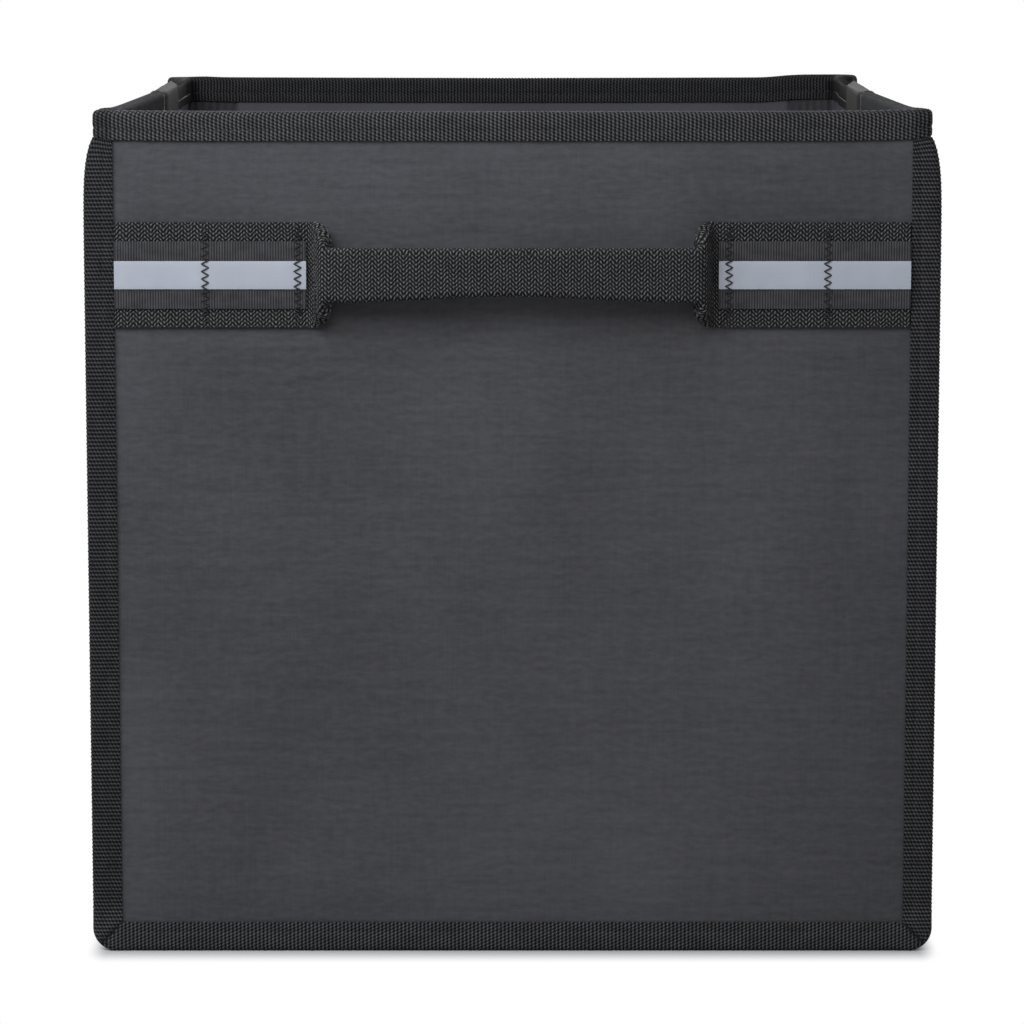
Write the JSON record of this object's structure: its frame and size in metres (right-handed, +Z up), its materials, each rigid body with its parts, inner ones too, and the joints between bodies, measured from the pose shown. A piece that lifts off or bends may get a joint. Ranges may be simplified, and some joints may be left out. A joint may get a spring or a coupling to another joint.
{
  "type": "cargo storage box",
  "caption": "Open-topped fabric storage box with stiff walls, bound seams, creased sides and webbing grip handles on front and back.",
  "frame": {"origin": "centre of the footprint at the level of the floor that the box stands on", "axes": "+Z up; -Y towards the front wall; +X to the right as seen from the front"},
  "size_m": [0.3112, 0.3638, 0.311],
  "materials": {
    "coated_fabric": "satin coated weave",
    "lining_fabric": "matte",
    "stiff_board": "matte",
    "woven_tape": "matte ribbed weave",
    "smooth_facing": "satin",
    "webbing": "matte herringbone weave",
    "ribbon": "satin ribbed weave",
    "reflector": "satin",
    "thread": "matte"
  },
  "bodies": {
    "root": {"back_board": "stiff_board", "back_cover": "coated_fabric", "back_edge_binding": "woven_tape", "back_left_reflector": "reflector", "back_left_ribbon": "ribbon", "back_lining": "lining_fabric", "back_right_reflector": "reflector", "back_right_ribbon": "ribbon", "back_tack_1": "thread", "back_tack_2": "thread", "back_tack_3": "thread", "back_tack_4": "thread", "back_webbing": "webbing", "base_board": "stiff_board", "base_sleeve": "lining_fabric", "front_board": "stiff_board", "front_cover": "coated_fabric", "front_edge_binding": "woven_tape", "front_left_reflector": "reflector", "front_left_ribbon": "ribbon", "front_lining": "lining_fabric", "front_right_reflector": "reflector", "front_right_ribbon": "ribbon", "front_tack_1": "thread", "front_tack_2": "thread", "front_tack_3": "thread", "front_tack_4": "thread", "front_webbing": "webbing", "gusset_cover": "coated_fabric", "gusset_lining": "lining_fabric", "left_front_board": "stiff_board", "left_rear_board": "stiff_board", "left_rim_facing": "smooth_facing", "right_front_board": "stiff_board", "right_rear_board": "stiff_board", "right_rim_facing": "smooth_facing", "rim_binding_back": "woven_tape", "rim_binding_front": "woven_tape"}
  },
  "joints": []
}
